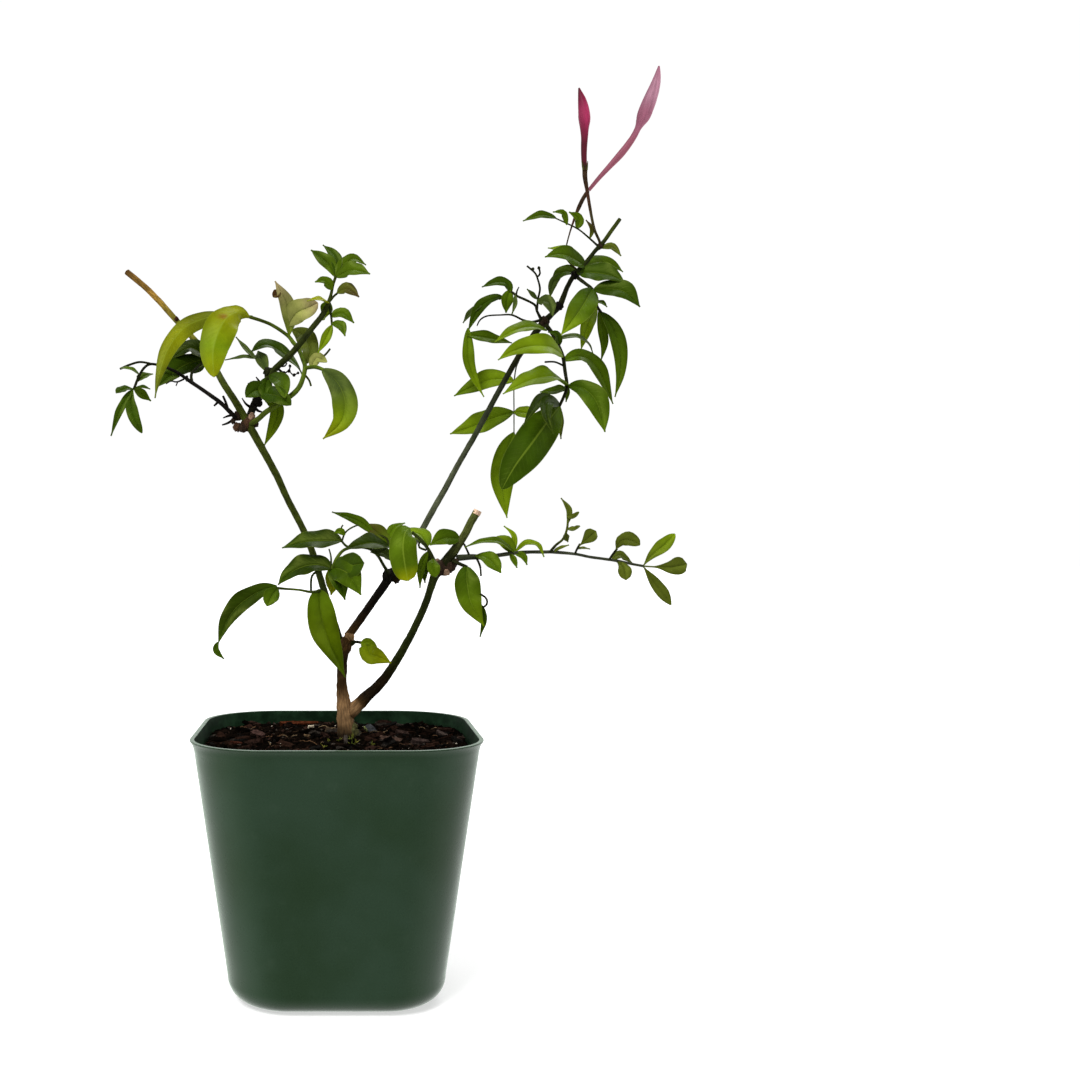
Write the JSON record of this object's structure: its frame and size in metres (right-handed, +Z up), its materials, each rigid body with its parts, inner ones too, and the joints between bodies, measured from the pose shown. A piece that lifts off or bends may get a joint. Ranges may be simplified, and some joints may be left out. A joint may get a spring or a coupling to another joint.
{
  "type": "potted climbing plant",
  "caption": "Young climbing jasmine with long pink buds and glossy pointed leaves, growing from bark mix in a square green nursery pot.",
  "frame": {"origin": "centre of the pot's flat underside, on the surface that the pot stands on", "axes": "+Z up; -Y towards the viewer of the picture, square to the pot's front wall; +X to the viewer's right"},
  "size_m": [0.1993, 0.1, 0.328],
  "materials": {
    "pot_plastic": "satin dark green moulded plastic",
    "bark_mix": "damp dark bark and peat, rough",
    "bark": "rough brown bark",
    "green_stem": "smooth dark green young wood",
    "leaf": "glossy waxy green leaf",
    "olive_leaf": "glossy olive green leaf",
    "stalk": "thin green-brown flower stalk",
    "bud_magenta": "satin deep magenta petals",
    "bud_pink": "satin light pink petals"
  },
  "bodies": {
    "root": {"pot": "pot_plastic", "soil": "bark_mix", "trunk": "bark", "left_stem": "green_stem", "right_stem": "green_stem", "right_arm": "green_stem", "trunk_leaf": "leaf", "left_low_spray": "leaf", "left_yellow_spray": "olive_leaf", "left_upper_spray": "leaf", "low_left_spray": "leaf", "low_right_spray": "leaf", "stub_leaf": "leaf", "trailing_branch": "olive_leaf", "hanging_leaf": "leaf", "upper_left_spray": "leaf", "upper_middle_spray": "leaf", "upper_hanging_leaf": "leaf", "top_shoot": "leaf", "upper_right_spray": "leaf", "left_bud_stalk": "stalk", "right_bud_stalk": "stalk", "left_bud": "bud_magenta", "right_bud": "bud_pink"}
  },
  "joints": []
}
